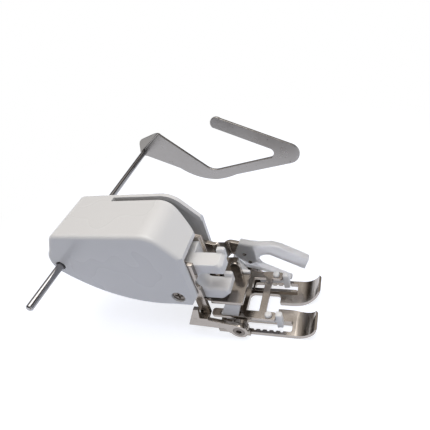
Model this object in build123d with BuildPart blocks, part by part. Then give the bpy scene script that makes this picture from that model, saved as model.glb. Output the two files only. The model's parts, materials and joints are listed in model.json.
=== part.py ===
import os
from math import cos, radians, sin

from build123d import *

os.makedirs("parts", exist_ok=True)

# Walking foot for a sewing machine, in millimetres.
# +X points to the front, +Y to the machine's right and +Z up.
# The origin is the centre of the clamp slot in the shank.

# Shank and presser bar
slot_width = 5.4
shank_thick = 4.3
bar_radius = 3.2
prong_height = 3.5
prong_tip_x = 5.0
lip_depth = 0.95
lip_length = 2.2
lip_corner = 0.5
lip_round = 0.4
prong_round = 0.9
lip_rise = 1.2
prong_low_corner = 1.6
prong_top_corner = 0.8

# Sole and feed foot, measured from the foot's centre plane
sole_drop = 19.05
sole_thick = 1.2
toe_half_width = 9.1
lug_half_width = 9.6
lug_thick = 1.0
toe_gap = 2.2
needle_gap = 8.0
toe_tip_x = 25.7
toe_bend_radius = 6.1
toe_bend_angle = 72.0
toe_corner = 0.9
toe_tip_thick = 0.6
toe_flare = 3.4
toe_flare_x = 17.4
sole_rear_x = -1.0
bridge_front_x = 5.6
notch_front_x = 14.6
notch_corner = 1.4
window_rear_x = 6.4
window_front_x = 19.0
window_inner = 5.4
window_outer = 8.0
rib_height = 0.7
rib_width = 0.9
rib_corner = 0.35
strip_inner = 5.7
strip_outer = 8.1
strip_thick = 1.0
strip_rise = 6.1
strip_corner = 0.8
strip_rear_x = -2.2
strip_front_x = 15.3
bar_width = 1.9
bar_xs = (6.3, 11.6)
feed_play = 1.5
lift_travel = 2.2
pad_width = 1.5
pad_height = 3.3
pad_rear_x = 8.6
pad_runner_depth = 1.25
pad_nose = 1.6
pad_nose_rise = 0.75
pad_round = 0.5
tooth_count = 3
tooth_depth = 0.35
stud_x = 13.4
stud_radius = 0.6
stud_head_radius = 0.95
stud_head_height = 0.75
stud_head_round = 0.4
lug_foot = 2.4
lug_lap = 0.5
window_corner = 0.6
scallop_radius = 0.4
scallop_pitch = 1.8
scallop_start_x = 9.2
scallop_count = 5

# Feed bracket and its nylon arms
bracket_thick = 1.0
bracket_gap = 0.9
bracket_corner = 0.4
bracket_slack = 0.25
bracket_front_x = 7.8
bracket_far_front_x = 3.0
bracket_cross_rear_x = -0.9
bracket_rear_x = -7.4
bracket_half_width = 8.0
step_room = 1.35
bracket_lug_x = 4.5
bracket_lug_z = -3.4
bracket_lug_radius = 1.35
tab_length = 3.2
tab_width = 0.85
tab_height = 0.9
tab_round = 0.3
arm_width = 2.2
arm_foot = (0.7, 5.5)
arm_heads = {"near": (3.0, 6.9), "far": (-0.7, 3.0)}
arm_stem_width = 1.1
arm_stem_length = 2.6
arm_base_thick = 0.6
lift_pin_radius = 0.7
lift_pin_x = -5.7
lift_pin_ys = {"near": -0.2, "far": 4.4}
lift_pin_seat = 4.0
lift_pin_tail = 0.9
lift_pocket = 5.0
lift_spring_wire = 0.4
lift_spring_radius = 1.1
lift_spring_turns = 4

# Frame of plated sheet
sheet = 1.2
ear_gap = 0.15
ear_radius = 2.5
pivot_x = 5.7
pivot_rise = 3.35
pivot_radius = 1.0
screw_head_radius = 1.6
web_rise = 7.95
arm_rear_x = -8.4
arm_rear_rise = 4.6
arm_crest_x = (-5.2, -3.7)
arm_crest_rise = 11.6
arm_root = (0.4, 0.2)
arm_front_reach = 0.9
arm_front_rise = 2.35
arm_low_reach = (2.7, 3.5)
arm_low_drop = 0.9
arm_low_rise = 4.1
hex_radius = 0.85
hex_depth = 0.7
plate_gap = 0.1
far_plate_offset = 0.9
slot_relief = 0.2
upright_shoulder = (-12.0, 9.5)
upright_front_z = 7.0
upright_step_z = -5.8
upright_crown = 3.2
upright_front_x = -2.0
upright_rear_x = -4.8
rod_eye_radius = 1.65
tie_rear_x = -20.0
tie_front_x = -14.0
tie_low_z = -4.3

# Lever and fork
lever_pivot = (-30.0, 8.0)
lever_thick = 1.2
lever_hub_radius = 3.5
shaft_radius = 1.5
lever_wall_gap = 0.8
lever_flank = (0.9, 3.38)
lever_bend_xs = (-0.9, 0.5)
lever_bend_radius = 1.0
lever_step_z = (1.5, -2.05)
fork_room = 0.35
fork_thick = 2.2
fork_corner = 0.6
fork_edge = 0.45
fork_slot_run = 20.0
fork_slot_width = 5.8
fork_slot_angle = -30.2
fork_slot_centre = (11.35, -9.4)
rivet_radius = 0.55
rivet_places = ((4.9, -6.4), (6.0, -9.4))
rivet_proud = 0.1
shaft_head = 0.9
shaft_head_thick = 0.4
bush_wall = 1.4
coil_gap = 0.25
coil_inset = 2.0
lever_spring_wire = 0.5
lever_spring_turns = 4

# Cover
cover_width = 17.5
cover_wall = 1.3
cover_top_z = 17.8
cover_edge = 1.1
cover_edge_low_z = 5.0
cover_rear_round = 3.0
cover_front_round = 7.0
cover_rim = (1.2, 0.8)
mouth_x = -3.2
mouth_top_z = 10.35
mouth_low_z = -3.5
mouth_lintel = 1.3
floor_front_x = -10.2
lever_slot_rear_x = -26.7
lever_slot_front_x = -11.0
lever_slot_bend = (-5.4, 7.2)
lever_slot_mouth_y = 4.0
lever_slot_gap = 0.2
slot_over = 1.0
cover_screw_place = (-8.4, -3.7)
cover_screw_radius = 1.0
cover_screw_head_radius = 1.8
cover_screw_head_height = 0.5
cover_screw_sink = 0.5
cover_screw_length = 6.5
cross_length = 2.2
cross_width = 0.5
cross_depth = 0.45

# Guide rod and blade
rod_radius = 1.0
rod_x = -40.7
rod_z = 6.9
rod_near_y = -19.35
blade_near_y = 53.25
blade_thick = 1.0
spigot_radius = 0.7
rod_chamfer = 0.3
cover_rod_hole_radius = 1.45
leaf_thick = 0.35
leaf_width = 4.0
leaf_inset = 0.5
leaf_turn_x = -21.5
leaf_flat = (2.0, -0.9)

# Outline of the blade, in X and Z from the rod's axis
head_low = (0.5, -1.7)
head_round = (-1.4, -0.6)
head_left = (-1.4, 1.0)
lip_left = (-1.1, 3.0)
lip_round_point = (-0.4, 4.4)
lip_top = (0.9, 5.2)
head_right = (6.6, 6.9)
head_corner = (8.2, 6.9)
strip_top = (9.4, 6.0)
bend_top_rear = (23.2, -7.9)
bend_top = (25.4, -9.4)
bend_top_front = (28.2, -9.55)
vee_low = (48.1, -6.0)
vee_point = (49.1, -4.2)
vee_high = (47.8, -2.5)
end_low = (29.6, 7.3)
end_point = (29.6, 10.0)
end_high = (33.2, 10.2)
tip_high = (55.6, -1.6)
tip_point = (57.8, -5.4)
tip_low = (54.8, -8.9)
bend_low_front = (34.0, -12.4)
bend_low_mid = (30.0, -13.6)
bend_low = (25.9, -14.1)
belly_low = (18.9, -12.4)
bend_low_rear = (12.6, -8.2)
crease_low = (1.14, 1.65)
crease_high = (6.8, 5.75)
crease_radius = 0.35
lip_width = 6.0
lip_tilt = 1.6

# Clearances
running_gap = 0.05
seat_gap = 0.02
slide_gap = 0.1

# Worked out from the sizes above
centre_y = shank_thick / 2 + bar_radius
near_plate_y = -shank_thick / 2
far_plate_y = centre_y + far_plate_offset
shank_top_z = slot_width / 2 + prong_height
shank_low_z = -shank_top_z
shank_rear_x = floor_front_x + slide_gap
seat_front_x = -bar_radius
sole_low_z = -sole_drop
sole_top_z = sole_low_z + sole_thick
pivot_z = sole_low_z + pivot_rise
web_top_z = sole_low_z + web_rise
strip_top_z = sole_low_z + strip_rise
strip_low_z = strip_top_z - strip_thick
strip_mid = (strip_inner + strip_outer) / 2
bracket_top_z = shank_low_z - bracket_gap
bracket_low_z = bracket_top_z - bracket_thick
cover_near_y = near_plate_y - sheet - plate_gap - cover_wall
cover_far_y = cover_near_y + cover_width
ear_inner = lug_half_width + ear_gap
ear_outer = ear_inner + sheet
lever_far_y = cover_far_y - cover_wall - lever_wall_gap
lever_near_y = lever_far_y - lever_thick
lever_mid_y = (lever_near_y + lever_far_y) / 2
fork_near_y = centre_y + strip_outer + fork_room
fork_mid_y = fork_near_y + fork_thick / 2
fork_far_y = fork_near_y + fork_thick
bracket_step_y = lever_near_y - step_room
bracket_lug_near_y = bracket_step_y - tab_width - bracket_thick - running_gap


def upright(y):
    # Plane of constant Y, drawn in X and Z, whose extrusions run towards -Y
    return Plane.XZ.offset(-y)


# Cover: one moulded shell, open at the mouth and under its front edge
top_front = (-9.4, cover_top_z)
rear_top = (-38.6, cover_top_z)
rear_high = (-42.0, 12.2)
rear_point = (-43.9, 8.0)
rear_low = (-41.9, 3.5)
belly_mid = (-27.2, -5.4)
belly_front = (-10.6, -7.3)
chin = (-5.7, -7.3)
with BuildPart() as cover:
    with BuildSketch(upright(cover_far_y)) as cover_side:
        with BuildLine():
            Polyline(rear_high, rear_top, top_front, (mouth_x, mouth_top_z))
            Polyline((mouth_x, mouth_top_z), (mouth_x, mouth_low_z), chin, belly_front)
            ThreePointArc(belly_front, belly_mid, rear_low)
            ThreePointArc(rear_low, rear_point, rear_high)
        make_face()
        fillet(cover_side.vertices().group_by(Axis.Y)[-1].sort_by(Axis.X)[0], radius=cover_rear_round)
        fillet(cover_side.vertices().group_by(Axis.Y)[-1].sort_by(Axis.X)[-1], radius=cover_front_round)
    extrude(amount=cover_width)
    walls = cover.faces().sort_by(Axis.Y)
    wall_edges = walls[0].edges() + walls[-1].edges()
    upper_edges = wall_edges.filter_by(lambda e: e.center().Z > cover_edge_low_z)
    fillet(upper_edges.filter_by(lambda e: e.center().X < mouth_x - cover_edge), radius=cover_edge)
    with BuildSketch(upright(cover_far_y - cover_wall)):
        add(cover_side.sketch_local)
        offset(amount=-cover_wall, kind=Kind.INTERSECTION, mode=Mode.REPLACE)
    extrude(amount=cover_width - 2 * cover_wall, mode=Mode.SUBTRACT)
    with BuildSketch(upright(cover_far_y - cover_wall)):
        with BuildLine():
            Polyline(
                (floor_front_x, chin[1] - 1),
                (mouth_x + 1, chin[1] - 1),
                (mouth_x + 1, mouth_top_z - mouth_lintel),
                (mouth_x - 3 * cover_wall, mouth_top_z - mouth_lintel),
                (floor_front_x, 0),
                close=True,
            )
        make_face()
    extrude(amount=cover_width - 2 * cover_wall, mode=Mode.SUBTRACT)
    with BuildSketch(Plane.XY.offset(cover_top_z + slot_over)):
        with BuildLine():
            slot_near = lever_near_y - lever_slot_gap
            slot_far = lever_far_y + lever_slot_gap
            slot_front = (lever_slot_front_x, slot_near)
            slot_mouth = (mouth_x + slot_over, lever_slot_mouth_y)
            Polyline(slot_front, (lever_slot_rear_x, slot_near), (lever_slot_rear_x, slot_far))
            Polyline((lever_slot_rear_x, slot_far), (mouth_x + slot_over, slot_far), slot_mouth)
            Spline(slot_mouth, lever_slot_bend, slot_front, tangents=((-0.6, 1), (-1, 0)))
        make_face()
    slot_depth = cover_top_z - mouth_top_z + mouth_lintel + 2 * slot_over
    extrude(amount=-slot_depth, mode=Mode.SUBTRACT)
    with Locations(Plane(origin=(rod_x, centre_y, rod_z), z_dir=(0, 1, 0))):
        Cylinder(cover_rod_hole_radius, 2 * cover_width, mode=Mode.SUBTRACT)
    screw_x, screw_z = cover_screw_place
    with Locations(Plane(origin=(screw_x, cover_near_y, screw_z), z_dir=(0, -1, 0))):
        CounterBoreHole(
            cover_screw_radius + slide_gap,
            cover_screw_head_radius + slide_gap,
            cover_screw_sink + cover_screw_head_height,
            depth=cover_wall,
        )
    with BuildSketch(Plane.XY.offset(mouth_top_z)):
        with BuildLine():
            Polyline(
                (mouth_x - cover_rim[0], cover_near_y),
                (mouth_x, cover_near_y),
                (mouth_x, cover_near_y + cover_rim[1]),
                close=True,
            )
        make_face()
    extrude(amount=chin[1] - mouth_top_z, mode=Mode.SUBTRACT)
cover.part.label = "cover"
export_step(cover.part, "parts/cover.step")

# Screw that holds the cover to the frame and the shank
with BuildPart() as cover_screw:
    with Locations(Plane(origin=(screw_x, cover_near_y + cover_screw_sink, screw_z), z_dir=(0, 1, 0))):
        Cylinder(
            cover_screw_head_radius,
            cover_screw_head_height,
            align=(Align.CENTER, Align.CENTER, Align.MIN),
        )
        Cylinder(cover_screw_radius, cover_screw_length, align=(Align.CENTER, Align.CENTER, Align.MIN))
    with BuildSketch(Plane(origin=(screw_x, cover_near_y + cover_screw_sink, screw_z), z_dir=(0, -1, 0))):
        Rectangle(cross_length, cross_width)
        Rectangle(cross_width, cross_length)
    extrude(amount=-cross_depth, mode=Mode.SUBTRACT)
cover_screw.part.label = "cover_screw"
export_step(cover_screw.part, "parts/cover_screw.step")

# Shank: nylon block with the open clamp slot, the bar seat behind it and lips at the prong tips
with BuildPart() as shank_block:
    with BuildSketch(upright(shank_thick / 2)) as shank_side:
        with BuildLine():
            Polyline(
                (shank_rear_x, shank_low_z),
                (prong_tip_x - prong_low_corner, shank_low_z),
                (prong_tip_x, shank_low_z + prong_low_corner),
                (prong_tip_x, shank_top_z - prong_top_corner),
                (prong_tip_x - prong_top_corner, shank_top_z),
                (shank_rear_x, shank_top_z),
                close=True,
            )
        make_face()
        Circle(slot_width / 2, mode=Mode.SUBTRACT)
        with Locations((prong_tip_x, 0)):
            Rectangle(2 * prong_tip_x, slot_width, mode=Mode.SUBTRACT)
    extrude(amount=shank_thick)
    with BuildSketch(upright(far_plate_y)):
        with Locations((seat_front_x, 0)):
            Rectangle(seat_front_x - shank_rear_x, 2 * shank_top_z, align=(Align.MAX, Align.CENTER))
    extrude(amount=far_plate_y - shank_thick / 2)
    lip_x = prong_tip_x - lip_length / 2
    with BuildSketch(upright(shank_thick / 2 + lip_depth)):
        for lip_z in (shank_top_z + lip_rise - prong_height / 2, lip_rise - shank_top_z + prong_height / 2):
            with Locations((lip_x, lip_z)):
                RectangleRounded(lip_length, prong_height, lip_corner)
    extrude(amount=lip_depth)
    prong_edges = shank_block.edges().filter_by(lambda e: e.center().X > seat_front_x + slot_width / 2)
    fillet(prong_edges.group_by(Axis.Y)[0], radius=prong_round)
    fillet(shank_block.edges().group_by(Axis.Y)[-2], radius=lip_round)
    for pin_y in lift_pin_ys.values():
        with Locations((lift_pin_x, pin_y, shank_low_z)):
            Cylinder(
                lift_pin_radius + seat_gap,
                lift_pocket + lift_pin_seat,
                align=(Align.CENTER, Align.CENTER, Align.MIN),
                mode=Mode.SUBTRACT,
            )
            Cylinder(
                lift_spring_radius + lift_spring_wire / 2 + slide_gap,
                lift_pocket,
                align=(Align.CENTER, Align.CENTER, Align.MIN),
                mode=Mode.SUBTRACT,
            )
    with Locations(Plane(origin=(screw_x, near_plate_y, screw_z), z_dir=(0, 1, 0))):
        Cylinder(
            cover_screw_radius + seat_gap,
            cover_screw_length,
            align=(Align.CENTER, Align.CENTER, Align.MIN),
            mode=Mode.SUBTRACT,
        )
shank_block.part.label = "shank_block"
export_step(shank_block.part, "parts/shank_block.step")

# Frame: two side plates, the tie between them, and arms with ears that carry the sole
upright_outline = (
    (rod_x, rod_z + rod_eye_radius),
    (lever_pivot[0], lever_pivot[1] + upright_crown),
    upright_shoulder,
    (upright_front_x, upright_front_z),
    (upright_front_x, web_top_z - sheet),
    (upright_rear_x, web_top_z - sheet),
    (upright_rear_x, upright_step_z),
    (tie_rear_x, tie_low_z),
    (rod_x, rod_z - rod_eye_radius),
)
arm_outline = (
    (arm_rear_x, sole_low_z + arm_rear_rise),
    (arm_crest_x[0], sole_low_z + arm_crest_rise),
    (arm_crest_x[1], sole_low_z + arm_crest_rise),
    (upright_rear_x + arm_root[0], web_top_z - arm_root[1]),
    (pivot_x + arm_front_reach, pivot_z + arm_front_rise),
    (pivot_x, pivot_z),
    (pivot_x - arm_low_reach[0], pivot_z - arm_low_drop),
    (pivot_x - arm_low_reach[1], sole_low_z + arm_low_rise),
)
with BuildPart() as frame:
    for plate_y in (near_plate_y, far_plate_y + sheet):
        with BuildSketch(upright(plate_y)):
            with BuildLine():
                Polyline(*upright_outline, close=True)
            make_face()
            with Locations((rod_x, rod_z)):
                Circle(rod_eye_radius)
                Circle(rod_radius + running_gap, mode=Mode.SUBTRACT)
            with Locations(lever_pivot):
                Circle(shaft_radius + seat_gap, mode=Mode.SUBTRACT)
        extrude(amount=sheet)
    for arm_y in (centre_y - ear_inner, centre_y + ear_outer):
        with BuildSketch(upright(arm_y)):
            with BuildLine():
                Polyline(*arm_outline, close=True)
            make_face()
            with Locations((pivot_x, pivot_z)):
                Circle(ear_radius)
                Circle(screw_head_radius + seat_gap, mode=Mode.SUBTRACT)
        extrude(amount=sheet)
    with BuildSketch(Plane.XY.offset(web_top_z)):
        with Locations((upright_front_x, near_plate_y)):
            Rectangle(
                upright_front_x - upright_rear_x,
                near_plate_y - (centre_y - ear_outer),
                align=(Align.MAX, Align.MAX),
            )
        with Locations((upright_front_x, far_plate_y)):
            Rectangle(
                upright_front_x - upright_rear_x,
                centre_y + ear_outer - far_plate_y,
                align=(Align.MAX, Align.MIN),
            )
    extrude(amount=-sheet)
    with BuildSketch(Plane.XY.offset(tie_low_z + sheet)):
        with Locations((tie_front_x, near_plate_y)):
            Rectangle(
                tie_front_x - tie_rear_x,
                far_plate_y - near_plate_y,
                align=(Align.MAX, Align.MIN),
            )
    extrude(amount=-sheet)
    with Locations(Plane(origin=(screw_x, near_plate_y, screw_z), z_dir=(0, 1, 0))):
        Cylinder(cover_screw_radius + slide_gap, 3 * sheet, mode=Mode.SUBTRACT)
    with Locations(Plane(origin=(0, near_plate_y, 0), z_dir=(0, 1, 0))):
        Cylinder(slot_width / 2 + slot_relief, 3 * sheet, mode=Mode.SUBTRACT)
    with Locations((0, centre_y, shank_low_z)):
        Cylinder(
            bar_radius + slide_gap,
            cover_top_z - shank_low_z,
            align=(Align.CENTER, Align.CENTER, Align.MIN),
            mode=Mode.SUBTRACT,
        )
frame.part.label = "frame"
export_step(frame.part, "parts/frame.step")

# Lever plate: hub on the cross shaft, a step outwards past the mouth and a tongue inside the fork
lever_outline = (
    (lever_pivot[0] + lever_flank[0], lever_pivot[1] + lever_flank[1]),
    (-5.6, 2.75),
    (lever_bend_xs[0], lever_step_z[0]),
    (lever_bend_xs[1] + lever_thick, lever_step_z[0]),
    (lever_bend_xs[1] + lever_thick, lever_step_z[1]),
    (7.6, -3.6),
    (7.8, -9.9),
    (5.8, -10.6),
    (2.6, -8.0),
    (0.6, -6.4),
    (-0.9, -4.6),
    (lever_pivot[0] - lever_flank[0], lever_pivot[1] - lever_flank[1]),
)
with BuildPart() as lever:
    with BuildSketch(upright(fork_far_y)):
        with BuildLine():
            Polyline(*lever_outline, close=True)
        make_face()
        with Locations(lever_pivot):
            Circle(lever_hub_radius)
            Circle(shaft_radius + running_gap, mode=Mode.SUBTRACT)
        with Locations(*rivet_places):
            Circle(rivet_radius + seat_gap, mode=Mode.SUBTRACT)
    extrude(amount=fork_far_y - lever_near_y)
    with BuildSketch(Plane.XY.offset(sole_low_z)):
        with BuildLine():
            FilletPolyline(
                (lever_pivot[0] - 2 * lever_hub_radius, lever_mid_y),
                (lever_bend_xs[0], lever_mid_y),
                (lever_bend_xs[1], fork_mid_y),
                (toe_tip_x, fork_mid_y),
                radius=lever_bend_radius,
            )
        trace(line_width=lever_thick)
    extrude(amount=cover_top_z - sole_low_z, mode=Mode.INTERSECT)
    with BuildSketch(Plane.YZ.offset(lever_bend_xs[0] - 2 * lever_thick)):
        with BuildLine():
            Polyline(
                (lever_far_y, lever_step_z[0]),
                (fork_mid_y - lever_thick / 2, lever_step_z[1]),
                (fork_far_y, lever_step_z[1]),
                (fork_far_y, cover_top_z),
                (lever_far_y, cover_top_z),
                close=True,
            )
        make_face()
    extrude(amount=toe_tip_x, mode=Mode.SUBTRACT)
lever.part.label = "lever"
export_step(lever.part, "parts/lever.step")

# Fork: nylon moulded round the lever's tongue, open to the front for the needle clamp
fork_crown = ((4.2, -1.75), (8.75, -2.67), (13.1, -2.55))
fork_outline = (
    (13.1, -2.55),
    (15.7, -3.45),
    (22.9, -7.9),
    (21.0, -12.6),
    (18.0, -15.6),
    (16.5, -16.85),
    (8.7, -12.95),
    (2.0, -11.4),
    (0.9, -8.2),
    (4.2, -1.75),
)
with BuildPart() as lever_fork:
    with BuildSketch(upright(fork_far_y)) as fork_side:
        with BuildLine():
            ThreePointArc(*fork_crown)
            Polyline(*fork_outline)
        make_face()
        fillet(fork_side.vertices(), radius=fork_corner)
        slot_end = (
            fork_slot_centre[0] + fork_slot_run * cos(radians(fork_slot_angle)),
            fork_slot_centre[1] + fork_slot_run * sin(radians(fork_slot_angle)),
        )
        SlotCenterPoint(
            ((fork_slot_centre[0] + slot_end[0]) / 2, (fork_slot_centre[1] + slot_end[1]) / 2),
            slot_end,
            fork_slot_width,
            mode=Mode.SUBTRACT,
        )
    extrude(amount=fork_thick)
    fork_faces = lever_fork.faces().sort_by(Axis.Y)
    fillet(fork_faces[0].edges() + fork_faces[-1].edges(), radius=fork_edge)
    add(lever.part, mode=Mode.SUBTRACT)
    for rivet_x, rivet_z in rivet_places:
        with Locations(Plane(origin=(rivet_x, fork_mid_y, rivet_z), z_dir=(0, 1, 0))):
            Cylinder(rivet_radius + seat_gap, 2 * fork_thick, mode=Mode.SUBTRACT)
lever_fork.part.label = "lever_fork"
export_step(lever_fork.part, "parts/lever_fork.step")

# Rivets through the fork and the lever
with BuildPart() as fork_rivets:
    for rivet_x, rivet_z in rivet_places:
        with Locations(Plane(origin=(rivet_x, fork_mid_y, rivet_z), z_dir=(0, 1, 0))):
            Cylinder(rivet_radius, fork_thick + 2 * rivet_proud)
fork_rivets.part.label = "fork_rivets"
export_step(fork_rivets.part, "parts/fork_rivets.step")

# Cross shaft of the lever, with its head on the far side
shaft_plane = Plane(origin=(lever_pivot[0], near_plate_y - sheet, lever_pivot[1]), z_dir=(0, 1, 0))
shaft_length = lever_far_y + running_gap - (near_plate_y - sheet)
with BuildPart() as lever_shaft:
    with BuildSketch(shaft_plane):
        Circle(shaft_radius)
    extrude(amount=shaft_length)
    with BuildSketch(shaft_plane.offset(shaft_length)):
        Circle(shaft_radius + shaft_head)
    extrude(amount=shaft_head_thick)
lever_shaft.part.label = "lever_shaft"
export_step(lever_shaft.part, "parts/lever_shaft.step")

# Spacer bush between the far side plate and the lever
with BuildPart() as lever_bush:
    with BuildSketch(Plane(origin=(lever_pivot[0], far_plate_y + sheet, lever_pivot[1]), z_dir=(0, 1, 0))):
        Circle(shaft_radius + bush_wall)
        Circle(shaft_radius + seat_gap, mode=Mode.SUBTRACT)
    extrude(amount=lever_near_y - running_gap - (far_plate_y + sheet))
lever_bush.part.label = "lever_bush"
export_step(lever_bush.part, "parts/lever_bush.step")

# Torsion coil on the shaft
coil_radius = shaft_radius + coil_gap + lever_spring_wire / 2
coil_pitch = lever_spring_wire + coil_gap
with BuildPart() as lever_spring:
    coil_start = (lever_pivot[0], near_plate_y + coil_inset, lever_pivot[1])
    with BuildLine() as coil:
        Helix(
            coil_pitch,
            coil_pitch * lever_spring_turns,
            coil_radius,
            center=coil_start,
            direction=(0, 1, 0),
        )
    with BuildSketch(Plane(origin=coil.line @ 0, z_dir=coil.line % 0)):
        Circle(lever_spring_wire / 2)
    sweep(path=coil.line, is_frenet=True)
lever_spring.part.label = "lever_spring"
export_step(lever_spring.part, "parts/lever_spring.step")

# Leaf that bears on the guide rod from below
leaf_mid_y = (near_plate_y + far_plate_y) / 2
tie_top_z = tie_low_z + sheet
leaf_top_z = rod_z - rod_radius - running_gap
with BuildPart() as rod_spring:
    with BuildSketch(upright(leaf_mid_y + leaf_width / 2)):
        with BuildLine():
            leaf_turn = (leaf_turn_x, tie_top_z + leaf_thick / 2)
            Line((tie_front_x - leaf_inset, tie_top_z + leaf_thick / 2), leaf_turn)
            leaf_mid_z = leaf_top_z - leaf_thick / 2
            Polyline(leaf_turn, (rod_x + leaf_flat[0], leaf_mid_z), (rod_x + leaf_flat[1], leaf_mid_z))
        trace(line_width=leaf_thick)
    extrude(amount=leaf_width)
rod_spring.part.label = "rod_spring"
export_step(rod_spring.part, "parts/rod_spring.step")

# Feed bracket: plate below the shank, guided on two pins, with a rounded lug
with BuildPart() as feed_bracket:
    with BuildSketch(Plane.XY.offset(bracket_top_z)) as bracket_plan:
        with BuildLine():
            Polyline(
                (bracket_rear_x, near_plate_y + bracket_slack),
                (bracket_cross_rear_x, near_plate_y + bracket_slack),
                (bracket_cross_rear_x, centre_y - bracket_half_width),
                (bracket_front_x, centre_y - bracket_half_width),
                (bracket_front_x, bracket_step_y),
                (bracket_far_front_x, bracket_step_y),
                (bracket_far_front_x, centre_y + bracket_half_width),
                (bracket_cross_rear_x, centre_y + bracket_half_width),
                (bracket_cross_rear_x, far_plate_y - bracket_slack),
                (bracket_rear_x, far_plate_y - bracket_slack),
                close=True,
            )
        make_face()
        fillet(bracket_plan.vertices().group_by(Axis.X)[-1], radius=bracket_corner)
        with Locations(*[(lift_pin_x, pin_y) for pin_y in lift_pin_ys.values()]):
            Circle(lift_pin_radius + running_gap, mode=Mode.SUBTRACT)
    extrude(amount=-bracket_thick)
    with BuildSketch(upright(bracket_lug_near_y + bracket_thick)):
        with Locations((bracket_lug_x, bracket_low_z)):
            Rectangle(
                2 * bracket_lug_radius,
                bracket_lug_z - bracket_low_z,
                align=(Align.CENTER, Align.MIN),
            )
        with Locations((bracket_lug_x, bracket_lug_z)):
            Circle(bracket_lug_radius)
    extrude(amount=bracket_thick)
feed_bracket.part.label = "feed_bracket"
export_step(feed_bracket.part, "parts/feed_bracket.step")

# White tab on the bracket's front corner
with BuildPart() as bracket_tab:
    with BuildSketch(Plane.XY.offset(bracket_top_z)):
        with Locations((bracket_front_x, bracket_step_y)):
            Rectangle(tab_length, tab_width, align=(Align.MAX, Align.MAX))
    extrude(amount=tab_height)
    fillet(bracket_tab.edges().group_by(Axis.Z)[-1], radius=tab_round)
bracket_tab.part.label = "bracket_tab"
export_step(bracket_tab.part, "parts/bracket_tab.step")

# Guide pins of the bracket and the coil springs round them
pocket_top_z = shank_low_z + lift_pocket
pin_low_z = bracket_low_z - lift_travel - lift_pin_tail
for side, pin_y in lift_pin_ys.items():
    with BuildPart() as lift_pin:
        with BuildSketch(Plane.XY.offset(pin_low_z)):
            with Locations((lift_pin_x, pin_y)):
                Circle(lift_pin_radius)
        extrude(amount=pocket_top_z + lift_pin_seat - pin_low_z)
    lift_pin.part.label = f"lift_pin_{side}"
    export_step(lift_pin.part, f"parts/lift_pin_{side}.step")

    spring_rise = pocket_top_z - bracket_top_z - lift_spring_wire - 2 * seat_gap
    with BuildPart() as lift_spring:
        spring_foot = (lift_pin_x, pin_y, bracket_top_z + lift_spring_wire / 2 + seat_gap)
        with BuildLine(Plane(origin=spring_foot)) as lift_coil:
            Helix(spring_rise / lift_spring_turns, spring_rise, lift_spring_radius)
        with BuildSketch(Plane(origin=lift_coil.line @ 0, z_dir=lift_coil.line % 0)):
            Circle(lift_spring_wire / 2)
        sweep(path=lift_coil.line, is_frenet=True)
    lift_spring.part.label = f"lift_spring_{side}"
    export_step(lift_spring.part, f"parts/lift_spring_{side}.step")

# Nylon arms from the bracket down to the feed foot, each with a stem through the strip's slot
stem_x = (arm_foot[0] + arm_foot[1]) / 2
for side, hand in (("near", -1), ("far", 1)):
    arm_mid_y = centre_y + hand * strip_mid
    with BuildPart() as feed_arm:
        with BuildSketch(upright(arm_mid_y + arm_width / 2)):
            with BuildLine():
                Polyline(
                    (arm_foot[0], strip_top_z + running_gap),
                    (arm_foot[1], strip_top_z + running_gap),
                    (arm_heads[side][1], bracket_low_z),
                    (arm_heads[side][0], bracket_low_z),
                    close=True,
                )
            make_face()
        extrude(amount=arm_width)
        with BuildSketch(Plane.XY.offset(strip_top_z + running_gap)):
            with Locations((stem_x, arm_mid_y)):
                Rectangle(arm_stem_length, arm_stem_width)
        extrude(amount=-(strip_thick + 2 * running_gap))
        with BuildSketch(Plane.XY.offset(strip_low_z - running_gap)):
            with Locations((stem_x, arm_mid_y)):
                Rectangle(arm_stem_length, arm_width)
        extrude(amount=-arm_base_thick)
    feed_arm.part.label = f"feed_arm_{side}"
    export_step(feed_arm.part, f"parts/feed_arm_{side}.step")

# Feed foot: two strips joined by two cross bars, slotted for the arms and drilled for the pads
with BuildPart() as feed_foot:
    with BuildSketch(Plane(origin=(0, centre_y, strip_low_z))) as ladder:
        for hand in (-1, 1):
            with Locations(((strip_rear_x + strip_front_x) / 2, hand * strip_mid)):
                RectangleRounded(strip_front_x - strip_rear_x, strip_outer - strip_inner, strip_corner)
        with Locations(*[(x, 0) for x in bar_xs]):
            Rectangle(bar_width, 2 * strip_mid)
        for hand in (-1, 1):
            with Locations((stem_x, hand * strip_mid)):
                Rectangle(
                    arm_stem_length + 2 * (feed_play + slide_gap),
                    arm_stem_width + 2 * slide_gap,
                    mode=Mode.SUBTRACT,
                )
            with Locations((stud_x, hand * strip_mid)):
                Circle(stud_radius + seat_gap, mode=Mode.SUBTRACT)
    extrude(amount=strip_thick)
feed_foot.part.label = "feed_foot"
export_step(feed_foot.part, "parts/feed_foot.step")

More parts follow.
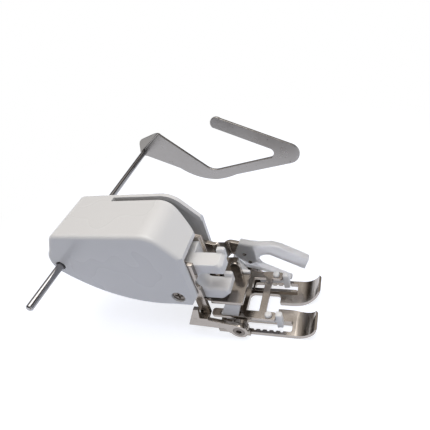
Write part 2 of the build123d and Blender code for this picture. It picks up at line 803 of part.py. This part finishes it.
# Nylon pads: a runner under the strip, held by its own stud, and a toothed nose in front of the strip
pad_low_z = strip_low_z - pad_height
runner_low_z = strip_low_z - pad_runner_depth
nose_top_z = strip_top_z + pad_nose_rise
nose_rear_x = strip_front_x + running_gap
nose_front_x = nose_rear_x + pad_nose
tooth_pitch = (pad_nose - 2 * pad_round) / tooth_count
for side, hand in (("near", -1), ("far", 1)):
    pad_y = centre_y + hand * (window_inner + window_outer) / 2
    stud_y = centre_y + hand * strip_mid
    with BuildPart() as feed_pad:
        with BuildSketch(upright(pad_y + pad_width / 2)) as pad_side:
            with BuildLine():
                Polyline(
                    (pad_rear_x, strip_low_z),
                    (pad_rear_x, runner_low_z),
                    (nose_rear_x, runner_low_z),
                    (nose_rear_x, pad_low_z),
                    (nose_front_x, pad_low_z),
                    (nose_front_x, nose_top_z),
                    (nose_rear_x, nose_top_z),
                    (nose_rear_x, strip_low_z),
                    close=True,
                )
            make_face()
            fillet(pad_side.vertices().group_by(Axis.X)[-1], radius=pad_round)
            for i in range(tooth_count):
                notch_x = nose_rear_x + pad_round + i * tooth_pitch
                with BuildLine():
                    Polyline(
                        (notch_x, pad_low_z),
                        (notch_x + tooth_pitch / 2, pad_low_z + tooth_depth),
                        (notch_x + tooth_pitch, pad_low_z),
                        close=True,
                    )
                make_face(mode=Mode.SUBTRACT)
        extrude(amount=pad_width)
        with Locations((stud_x, stud_y, strip_low_z)):
            Cylinder(stud_radius, strip_thick, align=(Align.CENTER, Align.CENTER, Align.MIN))
        with Locations((stud_x, stud_y, strip_top_z)):
            Cylinder(stud_head_radius, stud_head_height, align=(Align.CENTER, Align.CENTER, Align.MIN))
        head_top_z = strip_top_z + stud_head_height
        head_rim = feed_pad.edges().filter_by(lambda e: abs(e.center().Z - head_top_z) < seat_gap)
        fillet(head_rim.filter_by(GeomType.CIRCLE), radius=stud_head_round)
    feed_pad.part.label = f"feed_pad_{side}"
    export_step(feed_pad.part, f"parts/feed_pad_{side}.step")

# Sole: bent plate with two toes, windows for the pads, ribs and lugs for the shoulder screws
bend_x = toe_tip_x - toe_bend_radius * sin(radians(toe_bend_angle))
bend_centre = Vector(bend_x, sole_low_z + toe_bend_radius)


def bend_point(turn, depth):
    # Point of the toe's bend, that far round it and that deep in the sheet
    reach = toe_bend_radius - depth
    return bend_centre + Vector(reach * sin(radians(turn)), -reach * cos(radians(turn)))


with BuildPart() as sole:
    with BuildSketch(upright(centre_y + lug_half_width)):
        with BuildLine() as sole_profile:
            low_arc = CenterArc(bend_centre, toe_bend_radius, -90, toe_bend_angle)
            top_arc = ThreePointArc(
                bend_point(0, sole_thick),
                bend_point(toe_bend_angle / 2, (sole_thick + toe_tip_thick) / 2),
                bend_point(toe_bend_angle, toe_tip_thick),
            )
            Line(low_arc @ 1, top_arc @ 1)
            Polyline(top_arc @ 0, (sole_rear_x, sole_top_z), (sole_rear_x, sole_low_z), low_arc @ 0)
        make_face()
    extrude(amount=2 * lug_half_width)
    with BuildSketch(Plane(origin=(0, centre_y, sole_low_z))) as sole_plan:
        with Locations((sole_rear_x, 0)):
            Rectangle(
                toe_tip_x - sole_rear_x,
                2 * toe_half_width,
                align=(Align.MIN, Align.CENTER),
            )
        with Locations((bridge_front_x, 0)):
            Rectangle(
                toe_tip_x - bridge_front_x,
                toe_gap,
                align=(Align.MIN, Align.CENTER),
                mode=Mode.SUBTRACT,
            )
        for hand in (-1, 1):
            with BuildLine():
                TangentArc((toe_flare_x, hand * toe_gap / 2), (toe_tip_x, hand * toe_flare), tangent=(1, 0))
                Polyline(
                    (toe_tip_x, hand * toe_flare),
                    (toe_tip_x, 0),
                    (toe_flare_x, 0),
                    (toe_flare_x, hand * toe_gap / 2),
                )
            make_face(mode=Mode.SUBTRACT)
        tips = sole_plan.vertices().filter_by(lambda v: v.X > toe_tip_x - 0.01)
        fillet(tips, radius=toe_corner)
        with Locations(((bridge_front_x + notch_front_x) / 2, 0)):
            RectangleRounded(notch_front_x - bridge_front_x, needle_gap, notch_corner, mode=Mode.SUBTRACT)
        for hand in (-1, 1):
            with Locations(((window_rear_x + window_front_x) / 2, hand * (window_inner + window_outer) / 2)):
                RectangleRounded(
                    window_front_x - window_rear_x,
                    window_outer - window_inner,
                    window_corner,
                    mode=Mode.SUBTRACT,
                )
            scallop_xs = [scallop_start_x + scallop_pitch * i for i in range(scallop_count)]
            with Locations(*[(x, hand * window_outer) for x in scallop_xs]):
                Circle(scallop_radius, mode=Mode.SUBTRACT)
            lug_inner = min(toe_half_width - lug_lap, lug_half_width - lug_thick)
            with Locations((pivot_x, hand * (lug_half_width + lug_inner) / 2)):
                Rectangle(2 * lug_foot, lug_half_width - lug_inner)
    extrude(amount=2 * toe_bend_radius, mode=Mode.INTERSECT)
    for hand in (-1, 1):
        outer_y = centre_y + hand * lug_half_width
        with BuildSketch(upright(max(outer_y, outer_y - hand * lug_thick))):
            with Locations((pivot_x, sole_low_z)):
                Rectangle(2 * lug_foot, pivot_z - sole_low_z, align=(Align.CENTER, Align.MIN))
            with Locations((pivot_x, pivot_z)):
                Circle(lug_foot)
                Circle(pivot_radius + running_gap, mode=Mode.SUBTRACT)
        extrude(amount=lug_thick)
        rib_x = (window_rear_x + window_front_x) / 2
        with BuildSketch(Plane.XY.offset(sole_top_z)):
            with Locations((rib_x, centre_y + hand * (window_inner - rib_width / 2))):
                RectangleRounded(window_front_x - window_rear_x, rib_width, rib_corner)
        extrude(amount=rib_height)
sole.part.label = "sole"
export_step(sole.part, "parts/sole.step")

# Shoulder screws on which the sole rocks
for side, hand in (("near", -1), ("far", 1)):
    screw_face = Plane(origin=(pivot_x, centre_y + hand * ear_outer, pivot_z), z_dir=(0, -hand, 0))
    with BuildPart() as sole_screw:
        with BuildSketch(screw_face):
            Circle(screw_head_radius)
        extrude(amount=sheet)
        with BuildSketch(screw_face.offset(sheet)):
            Circle(pivot_radius)
        extrude(amount=ear_gap + lug_thick)
        with BuildSketch(screw_face):
            RegularPolygon(hex_radius, 6)
        extrude(amount=hex_depth, mode=Mode.SUBTRACT)
    sole_screw.part.label = f"sole_screw_{side}"
    export_step(sole_screw.part, f"parts/sole_screw_{side}.step")

# Guide rod, with a spigot peened in the blade
rod_plane = Plane(origin=(rod_x, rod_near_y, rod_z), z_dir=(0, 1, 0))
with BuildPart() as guide_rod:
    with BuildSketch(rod_plane):
        Circle(rod_radius)
    extrude(amount=blade_near_y - rod_near_y)
    chamfer(guide_rod.edges().group_by(Axis.Y)[0], length=rod_chamfer)
    with BuildSketch(rod_plane.offset(blade_near_y - rod_near_y)):
        Circle(spigot_radius)
    extrude(amount=blade_thick)
guide_rod.part.label = "guide_rod"
export_step(guide_rod.part, "parts/guide_rod.step")

# Guide blade: strip from the rod's end down to a flat V that points to the needle line
blade_face = Plane(origin=(rod_x, blade_near_y + blade_thick, rod_z), x_dir=(1, 0, 0), z_dir=(0, -1, 0))
with BuildPart() as guide_blade:
    with BuildSketch(blade_face):
        with BuildLine():
            ThreePointArc(head_low, head_round, head_left)
            Line(head_left, lip_left)
            ThreePointArc(lip_left, lip_round_point, lip_top)
            Line(lip_top, head_right)
            ThreePointArc(head_right, head_corner, strip_top)
            Line(strip_top, bend_top_rear)
            ThreePointArc(bend_top_rear, bend_top, bend_top_front)
            Line(bend_top_front, vee_low)
            ThreePointArc(vee_low, vee_point, vee_high)
            Line(vee_high, end_low)
            ThreePointArc(end_low, end_point, end_high)
            Line(end_high, tip_high)
            ThreePointArc(tip_high, tip_point, tip_low)
            Line(tip_low, bend_low_front)
            ThreePointArc(bend_low_front, bend_low_mid, bend_low)
            ThreePointArc(bend_low, belly_low, bend_low_rear)
            Line(bend_low_rear, head_low)
        make_face()
        Circle(spigot_radius + seat_gap, mode=Mode.SUBTRACT)
    extrude(amount=blade_thick)
    crease_run = Vector(*crease_high) - Vector(*crease_low)
    crease_plane = Plane(
        origin=(rod_x + crease_low[0], blade_near_y, rod_z + crease_low[1]),
        x_dir=(-crease_run.Y, 0, crease_run.X),
        z_dir=(crease_run.X, 0, crease_run.Y),
    )
    with BuildSketch(crease_plane):
        with BuildLine():
            Polyline((0, 0), (lip_width, -lip_tilt), (lip_width, lip_tilt), (0, lip_tilt), close=True)
        make_face()
        Circle(crease_radius)
    extrude(amount=2 * crease_run.length, both=True, mode=Mode.SUBTRACT)
guide_blade.part.label = "guide_blade"
export_step(guide_blade.part, "parts/guide_blade.step")
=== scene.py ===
import json
import math

import bmesh
import bpy
from mathutils import Matrix, Vector


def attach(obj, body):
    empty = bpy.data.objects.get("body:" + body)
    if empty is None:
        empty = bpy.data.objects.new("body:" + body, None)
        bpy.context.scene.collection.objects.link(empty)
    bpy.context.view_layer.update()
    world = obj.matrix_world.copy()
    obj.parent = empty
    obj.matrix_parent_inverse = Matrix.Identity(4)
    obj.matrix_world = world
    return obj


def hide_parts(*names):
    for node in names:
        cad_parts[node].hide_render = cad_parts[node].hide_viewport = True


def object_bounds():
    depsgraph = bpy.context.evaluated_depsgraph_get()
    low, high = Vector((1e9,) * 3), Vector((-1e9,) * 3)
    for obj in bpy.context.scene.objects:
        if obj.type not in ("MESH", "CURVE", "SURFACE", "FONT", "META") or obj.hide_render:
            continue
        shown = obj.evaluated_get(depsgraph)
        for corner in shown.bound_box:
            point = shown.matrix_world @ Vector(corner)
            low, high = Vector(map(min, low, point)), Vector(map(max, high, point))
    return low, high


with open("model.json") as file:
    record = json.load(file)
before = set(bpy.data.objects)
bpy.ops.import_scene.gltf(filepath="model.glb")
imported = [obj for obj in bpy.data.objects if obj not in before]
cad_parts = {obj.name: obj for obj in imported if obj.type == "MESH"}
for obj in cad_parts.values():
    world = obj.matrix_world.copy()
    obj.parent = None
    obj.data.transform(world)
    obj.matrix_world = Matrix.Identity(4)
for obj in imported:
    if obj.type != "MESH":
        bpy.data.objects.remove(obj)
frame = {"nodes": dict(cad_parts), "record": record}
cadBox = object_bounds()
scene = bpy.context.scene
scene.view_settings.view_transform = "Standard"
mm = 0.001
print("frame loaded:", len(frame["nodes"]), "nodes")


# Shared node helpers

def addNode(tree, kind, **values):
    node = tree.nodes.new(kind)
    for name, value in values.items():
        setattr(node, name, value)
    return node


def setInputs(node, **values):
    for name, value in values.items():
        node.inputs[name.replace("_", " ")].default_value = value


def newGroup(name, inputs, outputs):
    group = bpy.data.node_groups.new(name, "ShaderNodeTree")
    for label in inputs:
        group.interface.new_socket(label, in_out="INPUT", socket_type="NodeSocketFloat")
    for label in outputs:
        group.interface.new_socket(label, in_out="OUTPUT", socket_type="NodeSocketFloat")
    return group, group.nodes.new("NodeGroupInput"), group.nodes.new("NodeGroupOutput")


# Textures that the finishes share
noiseLooks = {
    "grain": {"Detail": 3, "Roughness": 0.55},
    "patch": {"Detail": 2, "Roughness": 0.5},
    "line": {"Scale": 1000, "Detail": 3, "Roughness": 0.6},
    "cloud": {"Detail": 5, "Roughness": 0.6},
    "speck": {"Detail": 1, "Roughness": 0.5},
}
noiseSpan = {"From_Min": 0.3, "From_Max": 0.7}
speckSpan = {"From_Min": 0.7, "From_Max": 0.76}
bumpDepth = 0.02 * mm


def scaledNoise(group, scaleSocket, kind):
    place = addNode(group, "ShaderNodeTexCoord")
    noise = addNode(group, "ShaderNodeTexNoise")
    setInputs(noise, **noiseLooks[kind])
    group.links.new(place.outputs["Object"], noise.inputs["Vector"])
    group.links.new(scaleSocket, noise.inputs["Scale"])
    return noise


def spread(group, source, lowSocket, highSocket):
    # maps a noise value onto the range that the group's user gives
    ranger = addNode(group, "ShaderNodeMapRange")
    setInputs(ranger, **noiseSpan)
    group.links.new(source, ranger.inputs["Value"])
    group.links.new(lowSocket, ranger.inputs["To Min"])
    group.links.new(highSocket, ranger.inputs["To Max"])
    return ranger.outputs["Result"]


# Moulded skin: a fine orange-peel height and a slow change of gloss
def makeMouldedSkin():
    group, source, result = newGroup(
        "mouldedSkin",
        ("Grain Scale", "Patch Scale", "Rough Low", "Rough High"),
        ("Height", "Roughness", "Patch"),
    )
    grain = scaledNoise(group, source.outputs["Grain Scale"], "grain")
    patch = scaledNoise(group, source.outputs["Patch Scale"], "patch")
    rough = spread(group, patch.outputs["Fac"], source.outputs["Rough Low"], source.outputs["Rough High"])
    group.links.new(grain.outputs["Fac"], result.inputs["Height"])
    group.links.new(rough, result.inputs["Roughness"])
    group.links.new(patch.outputs["Fac"], result.inputs["Patch"])
    return group


# Drawn metal: lines along one direction, cloudy tarnish and small specks
def makeDrawnMetal():
    group, source, result = newGroup(
        "drawnMetal",
        ("Line X", "Line Y", "Line Z", "Cloud Scale", "Speck Scale", "Rough Low", "Rough High"),
        ("Height", "Roughness", "Cloud", "Speck"),
    )
    place = addNode(group, "ShaderNodeTexCoord")
    stretch = addNode(group, "ShaderNodeCombineXYZ")
    for axis in "XYZ":
        group.links.new(source.outputs["Line " + axis], stretch.inputs[axis])
    stretched = addNode(group, "ShaderNodeVectorMath", operation="MULTIPLY")
    group.links.new(place.outputs["Object"], stretched.inputs[0])
    group.links.new(stretch.outputs["Vector"], stretched.inputs[1])
    lines = addNode(group, "ShaderNodeTexNoise")
    setInputs(lines, **noiseLooks["line"])
    group.links.new(stretched.outputs["Vector"], lines.inputs["Vector"])
    cloud = scaledNoise(group, source.outputs["Cloud Scale"], "cloud")
    rough = spread(group, cloud.outputs["Fac"], source.outputs["Rough Low"], source.outputs["Rough High"])
    speckNoise = scaledNoise(group, source.outputs["Speck Scale"], "speck")
    speck = addNode(group, "ShaderNodeMapRange")
    setInputs(speck, **speckSpan)
    group.links.new(speckNoise.outputs["Fac"], speck.inputs["Value"])
    group.links.new(lines.outputs["Fac"], result.inputs["Height"])
    group.links.new(rough, result.inputs["Roughness"])
    group.links.new(cloud.outputs["Fac"], result.inputs["Cloud"])
    group.links.new(speck.outputs["Result"], result.inputs["Speck"])
    return group


mouldedSkin = makeMouldedSkin()
drawnMetal = makeDrawnMetal()


def startMaterial(name):
    material = bpy.data.materials.new(name)
    material.use_nodes = True
    tree = material.node_tree
    return material, tree, tree.nodes["Principled BSDF"]


def mixColours(tree, mask, low, high):
    mix = addNode(tree, "ShaderNodeMix", data_type="RGBA")
    mix.inputs["A"].default_value = (*low, 1)
    mix.inputs["B"].default_value = (*high, 1)
    tree.links.new(mask, mix.inputs["Factor"])
    return mix.outputs["Result"]


def bumpInto(tree, shader, height, strength):
    bump = addNode(tree, "ShaderNodeBump")
    setInputs(bump, Strength=strength, Distance=bumpDepth)
    tree.links.new(height, bump.inputs["Height"])
    tree.links.new(bump.outputs["Normal"], shader.inputs["Normal"])


# A moulded plastic from one dictionary of looks
def makePlastic(name, looks):
    material, tree, shader = startMaterial(name)
    skin = addNode(tree, "ShaderNodeGroup", node_tree=mouldedSkin)
    setInputs(skin, Grain_Scale=looks["grainScale"], Patch_Scale=looks["patchScale"],
              Rough_Low=looks["rough"][0], Rough_High=looks["rough"][1])
    tone = mixColours(tree, skin.outputs["Patch"], looks["shade"], looks["colour"])
    tree.links.new(tone, shader.inputs["Base Color"])
    tree.links.new(skin.outputs["Roughness"], shader.inputs["Roughness"])
    bumpInto(tree, shader, skin.outputs["Height"], looks["grain"])
    for socket, value in looks["sockets"].items():
        shader.inputs[socket].default_value = value
    return material


# A plated or bare metal from one dictionary of looks
def makeMetal(name, looks):
    material, tree, shader = startMaterial(name)
    metal = addNode(tree, "ShaderNodeGroup", node_tree=drawnMetal)
    setInputs(metal, Line_X=looks["lines"][0], Line_Y=looks["lines"][1], Line_Z=looks["lines"][2],
              Cloud_Scale=looks["cloudScale"], Speck_Scale=looks["speckScale"],
              Rough_Low=looks["rough"][0], Rough_High=looks["rough"][1])
    tone = mixColours(tree, metal.outputs["Cloud"], looks["shade"], looks["colour"])
    speckled = addNode(tree, "ShaderNodeMix", data_type="RGBA")
    speckled.inputs["B"].default_value = (*looks["speck"], 1)
    tree.links.new(metal.outputs["Speck"], speckled.inputs["Factor"])
    tree.links.new(tone, speckled.inputs["A"])
    tree.links.new(speckled.outputs["Result"], shader.inputs["Base Color"])
    tree.links.new(metal.outputs["Roughness"], shader.inputs["Roughness"])
    bumpInto(tree, shader, metal.outputs["Height"], looks["line"])
    shader.inputs["Metallic"].default_value = 1
    return material


coverLooks = {
    "colour": (0.735, 0.732, 0.73),
    "shade": (0.73, 0.727, 0.725),
    "rough": (0.27, 0.285),
    "grainScale": 2600,
    "patchScale": 45,
    "grain": 0.08,
    "sockets": {"IOR": 1.5, "Specular IOR Level": 0.5},
}
whiteNylonLooks = {
    "colour": (0.765, 0.76, 0.76),
    "shade": (0.75, 0.745, 0.745),
    "rough": (0.3, 0.4),
    "grainScale": 3500,
    "patchScale": 260,
    "grain": 0.1,
    "sockets": {"IOR": 1.5, "Subsurface Weight": 0.7, "Subsurface Scale": 1.5 * mm,
                "Subsurface Radius": (1, 0.97, 0.94)},
}
milkyNylonLooks = {
    "colour": (0.93, 0.925, 0.93),
    "shade": (0.91, 0.905, 0.912),
    "rough": (0.34, 0.42),
    "grainScale": 3000,
    "patchScale": 200,
    "grain": 0.05,
    "sockets": {"IOR": 1.35, "Transmission Weight": 0.5, "Subsurface Weight": 0.8,
                "Subsurface Scale": 1.5 * mm, "Subsurface Radius": (1, 0.97, 0.96)},
}
# the pads are of the fork's nylon, with less light through them
padNylonLooks = {
    **milkyNylonLooks,
    "sockets": {**milkyNylonLooks["sockets"], "Transmission Weight": 0.12},
}
platedLooks = {
    "colour": (0.43, 0.395, 0.36),
    "shade": (0.33, 0.297, 0.268),
    "speck": (0.24, 0.21, 0.19),
    "rough": (0.12, 0.24),
    "lines": (0.4, 3, 3),
    "cloudScale": 220,
    "speckScale": 1100,
    "line": 0.05,
}
screwLooks = {
    "colour": (0.22, 0.195, 0.175),
    "shade": (0.15, 0.13, 0.115),
    "speck": (0.12, 0.1, 0.09),
    "rough": (0.2, 0.34),
    "lines": (2, 2, 2),
    "cloudScale": 500,
    "speckScale": 1600,
    "line": 0.06,
}
springLooks = {
    "colour": (0.55, 0.54, 0.53),
    "shade": (0.42, 0.41, 0.40),
    "speck": (0.25, 0.22, 0.2),
    "rough": (0.25, 0.4),
    "lines": (1, 1, 1),
    "cloudScale": 400,
    "speckScale": 1400,
    "line": 0.05,
}
rodLooks = {
    "colour": (0.42, 0.42, 0.43),
    "shade": (0.31, 0.30, 0.30),
    "speck": (0.16, 0.13, 0.11),
    "rough": (0.08, 0.16),
    "lines": (4, 0.15, 4),
    "cloudScale": 250,
    "speckScale": 900,
    "line": 0.04,
}
bladeLooks = {
    "colour": (0.365, 0.35, 0.335),
    "shade": (0.315, 0.30, 0.285),
    "speck": (0.2, 0.18, 0.17),
    "rough": (0.26, 0.36),
    "lines": (0.3, 3, 3),
    "cloudScale": 150,
    "speckScale": 1200,
    "line": 0.01,
}

finishes = {
    "cover": makePlastic("coverPlastic", coverLooks),
    "white_nylon": makePlastic("whiteNylon", whiteNylonLooks),
    "milky_nylon": makePlastic("milkyNylon", milkyNylonLooks),
    "plated_steel": makeMetal("platedSteel", platedLooks),
    "screw_steel": makeMetal("screwSteel", screwLooks),
    "spring_steel": makeMetal("springSteel", springLooks),
    "rod_steel": makeMetal("rodSteel", rodLooks),
    "blade_steel": makeMetal("bladeSteel", bladeLooks),
}
padNylon = makePlastic("padNylon", padNylonLooks)
ownFinish = {"feed_pad_near": padNylon, "feed_pad_far": padNylon}
print("finishes made:", len(finishes) + 1)


# Each piece is a finished copy of its solid. In these slots it is welded, its flat faces are joined
# and its edges are broken by the width given. The other slots, and the pieces in ownRounds, keep
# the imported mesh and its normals
edgeBreaks = {
    "plated_steel": 0.11 * mm,
    "screw_steel": 0.08 * mm,
    "blade_steel": 0.25 * mm,
    "white_nylon": 0.16 * mm,
    "milky_nylon": 0.12 * mm,
}
ownRounds = ("lever_fork", "shank_block", "sole")
weldDistance = 1e-7
breakSteps = {"segments": 2, "profile": 0.5}
roomFactor = 3
breakAngle = math.radians(40)
onwardAngle = math.radians(60)
smoothAngle = math.radians(38)
flatAngle = math.radians(0.4)


# An edge is broken only where the faces beside it are wide enough to take the break
def edgesWithRoom(work, width):
    sharp = [edge for edge in work.edges if edge.is_manifold and edge.calc_face_angle() > breakAngle]
    sharpSet = set(sharp)
    tight = set()
    for corner in work.verts:
        own = [edge for edge in corner.link_edges if edge in sharpSet]
        for edge in own:
            way = edge.other_vert(corner).co - corner.co
            for other in corner.link_edges:
                aside = other.other_vert(corner).co - corner.co
                turn = way.angle(aside)
                onward = other in sharpSet and len(own) == 2 and turn > onwardAngle
                narrow = aside.length * math.sin(turn) < roomFactor * width
                if other is not edge and not onward and narrow:
                    tight.add(corner)
    return [edge for edge in sharp if not tight.intersection(edge.verts)]


def breakEdges(mesh, width):
    work = bmesh.new()
    work.from_mesh(mesh)
    bmesh.ops.remove_doubles(work, verts=work.verts, dist=weldDistance)
    bmesh.ops.dissolve_limit(work, angle_limit=flatAngle, verts=work.verts, edges=work.edges)
    bmesh.ops.bevel(work, geom=edgesWithRoom(work, width), offset=width, affect="EDGES",
                    clamp_overlap=False, **breakSteps)
    work.to_mesh(mesh)
    work.free()
    mesh.shade_smooth()
    mesh.set_sharp_from_angle(angle=smoothAngle)


def finishedCopy(nodeName, bodyName, slotName):
    mesh = frame["nodes"][nodeName].data.copy()
    mesh.name = nodeName + "Finished"
    broken = slotName in edgeBreaks and nodeName not in ownRounds
    if broken:
        breakEdges(mesh, edgeBreaks[slotName])
    mesh.materials.clear()
    mesh.materials.append(ownFinish.get(nodeName, finishes[slotName]))
    piece = bpy.data.objects.new(nodeName + "Piece", mesh)
    scene.collection.objects.link(piece)
    if broken:
        evenOut = piece.modifiers.new("evenNormals", "WEIGHTED_NORMAL")
        evenOut.mode = "FACE_AREA"
        evenOut.keep_sharp = True
    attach(piece, bodyName)
    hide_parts(nodeName)


slotOf = {entry["node"]: entry["material_slot"] for entry in frame["record"]["subparts"]}
for bodyName, members in frame["record"]["behaviour"]["bodies"].items():
    for nodeName in members:
        finishedCopy(nodeName, bodyName, slotOf[nodeName])
print("pieces finished:", len(slotOf))


# Floor: pale, with the object's shadow close to it and plain white further off
floorLooks = {
    "size": 6.0,
    "middle": (-5 * mm, 5 * mm),
    "drop": 0.02 * mm,
    "colour": (0.44, 0.48, 0.60),
    "roughness": 0.9,
    "white": (1, 1, 1),
    "glow": 0.74,
    "nearRadius": 0.05,
    "farRadius": 0.13,
}


def makeFloorMaterial():
    material, tree, shader = startMaterial("paleFloor")
    shader.inputs["Base Color"].default_value = (*floorLooks["colour"], 1)
    shader.inputs["Roughness"].default_value = floorLooks["roughness"]
    shader.inputs["Specular IOR Level"].default_value = 0
    shader.inputs["Emission Color"].default_value = (*floorLooks["white"], 1)
    # the glow is for rays that see the floor, so that it lights nothing
    rays = addNode(tree, "ShaderNodeLightPath")
    seen = addNode(tree, "ShaderNodeMath", operation="MAXIMUM")
    seenThrough = addNode(tree, "ShaderNodeMath", operation="MAXIMUM")
    tree.links.new(rays.outputs["Is Camera Ray"], seen.inputs[0])
    tree.links.new(rays.outputs["Is Glossy Ray"], seen.inputs[1])
    tree.links.new(seen.outputs[0], seenThrough.inputs[0])
    tree.links.new(rays.outputs["Is Transmission Ray"], seenThrough.inputs[1])
    glow = addNode(tree, "ShaderNodeMath", operation="MULTIPLY")
    glow.inputs[1].default_value = floorLooks["glow"]
    tree.links.new(seenThrough.outputs[0], glow.inputs[0])
    tree.links.new(glow.outputs[0], shader.inputs["Emission Strength"])
    # plain white away from the object
    place = addNode(tree, "ShaderNodeTexCoord")
    reach = addNode(tree, "ShaderNodeVectorMath", operation="LENGTH")
    tree.links.new(place.outputs["Object"], reach.inputs[0])
    outside = addNode(tree, "ShaderNodeMapRange", interpolation_type="SMOOTHSTEP")
    setInputs(outside, From_Min=floorLooks["nearRadius"], From_Max=floorLooks["farRadius"])
    tree.links.new(reach.outputs["Value"], outside.inputs["Value"])
    plain = addNode(tree, "ShaderNodeMath", operation="MULTIPLY")
    tree.links.new(outside.outputs["Result"], plain.inputs[0])
    tree.links.new(seenThrough.outputs[0], plain.inputs[1])
    blank = addNode(tree, "ShaderNodeEmission")
    blank.inputs["Color"].default_value = (*floorLooks["white"], 1)
    blank.inputs["Strength"].default_value = 1
    mixer = addNode(tree, "ShaderNodeMixShader")
    tree.links.new(plain.outputs[0], mixer.inputs["Fac"])
    tree.links.new(shader.outputs["BSDF"], mixer.inputs[1])
    tree.links.new(blank.outputs["Emission"], mixer.inputs[2])
    tree.links.new(mixer.outputs["Shader"], tree.nodes["Material Output"].inputs["Surface"])
    return material


def makeFloor():
    half = floorLooks["size"] / 2
    corners = [(-half, -half, 0), (half, -half, 0), (half, half, 0), (-half, half, 0)]
    mesh = bpy.data.meshes.new("floorMesh")
    mesh.from_pydata(corners, [], [(0, 1, 2, 3)])
    mesh.materials.append(makeFloorMaterial())
    floor = bpy.data.objects.new("floor", mesh)
    floor.location = (*floorLooks["middle"], cadBox[0][2] - floorLooks["drop"])
    scene.collection.objects.link(floor)


makeFloor()
print("floor laid")


# Light: a wide lamp above and a cool weak one in front
lampLooks = {
    "overhead": {"place": (0.05, 0.08, 0.46), "aim": (-0.01, 0.01, 0), "size": (0.42, 0.28),
                 "power": 1.28, "colour": (1, 0.98, 0.955)},
    "front": {"place": (0.34, -0.20, 0.2), "aim": (0, 0, 0), "size": (0.16, 0.2),
              "power": 0.095, "colour": (0.80, 0.89, 1)},
}


def makeLamp(name, looks):
    data = bpy.data.lights.new(name, "AREA")
    data.shape = "RECTANGLE"
    data.size, data.size_y = looks["size"]
    data.energy = looks["power"]
    data.color = looks["colour"]
    lamp = bpy.data.objects.new(name, data)
    lamp.location = looks["place"]
    towards = Vector(looks["aim"]) - Vector(looks["place"])
    lamp.rotation_euler = towards.to_track_quat("-Z", "Y").to_euler()
    scene.collection.objects.link(lamp)


for lampName, looks in lampLooks.items():
    makeLamp(lampName, looks)


# Room: pale up to the horizon and overhead, with a dark warm band between for the metal to mirror.
# Each stop is a height, from 0 straight down to 1 straight up, and its colour
roomLooks = {
    "strength": 1.0,
    "stops": [
        (0.0, (0.6, 0.62, 0.66)),
        (0.5, (0.81, 0.855, 0.925)),
        (0.61, (0.70, 0.73, 0.79)),
        (0.66, (0.09, 0.08, 0.072)),
        (0.71, (0.045, 0.036, 0.03)),
        (0.77, (0.07, 0.058, 0.05)),
        (0.82, (0.24, 0.215, 0.195)),
        (0.87, (0.70, 0.66, 0.62)),
        (1.0, (0.80, 0.785, 0.77)),
    ],
}


def makeRoom():
    world = bpy.data.worlds.new("room")
    scene.world = world
    world.use_nodes = True
    tree = world.node_tree
    backdrop = tree.nodes["Background"]
    place = addNode(tree, "ShaderNodeTexCoord")
    parts = addNode(tree, "ShaderNodeSeparateXYZ")
    height = addNode(tree, "ShaderNodeMapRange")
    setInputs(height, From_Min=-1, From_Max=1)
    ramp = addNode(tree, "ShaderNodeValToRGB")
    bottom, *between, top = roomLooks["stops"]
    for element, (position, colour) in zip(ramp.color_ramp.elements, (bottom, top)):
        element.position = position
        element.color = (*colour, 1)
    for position, colour in between:
        ramp.color_ramp.elements.new(position).color = (*colour, 1)
    tree.links.new(place.outputs["Generated"], parts.inputs["Vector"])
    tree.links.new(parts.outputs["Z"], height.inputs["Value"])
    tree.links.new(height.outputs["Result"], ramp.inputs["Fac"])
    tree.links.new(ramp.outputs["Color"], backdrop.inputs["Color"])
    backdrop.inputs["Strength"].default_value = roomLooks["strength"]


makeRoom()
print("light set")


# Camera: where the photograph was taken from
cameraLooks = {
    "place": (37.28 * mm, -60.88 * mm, 71.76 * mm),
    "right": (0.9335, 0.2649, -0.2418),
    "up": (0.0126, 0.6495, 0.7603),
    "back": (0.3584, -0.7128, 0.6029),
    "lens": 32.71,
    "sensor": 36.0,
    "nearest": 1 * mm,
    "furthest": 20,
}


def makeCamera():
    data = bpy.data.cameras.new("photoCamera")
    data.lens = cameraLooks["lens"]
    data.sensor_width = cameraLooks["sensor"]
    data.sensor_fit = "HORIZONTAL"
    data.clip_start = cameraLooks["nearest"]
    data.clip_end = cameraLooks["furthest"]
    camera = bpy.data.objects.new("photoCamera", data)
    turn = Matrix((cameraLooks["right"], cameraLooks["up"], cameraLooks["back"])).transposed()
    camera.matrix_world = Matrix.Translation(cameraLooks["place"]) @ turn.to_4x4()
    scene.collection.objects.link(camera)
    scene.camera = camera


makeCamera()
print("camera set")
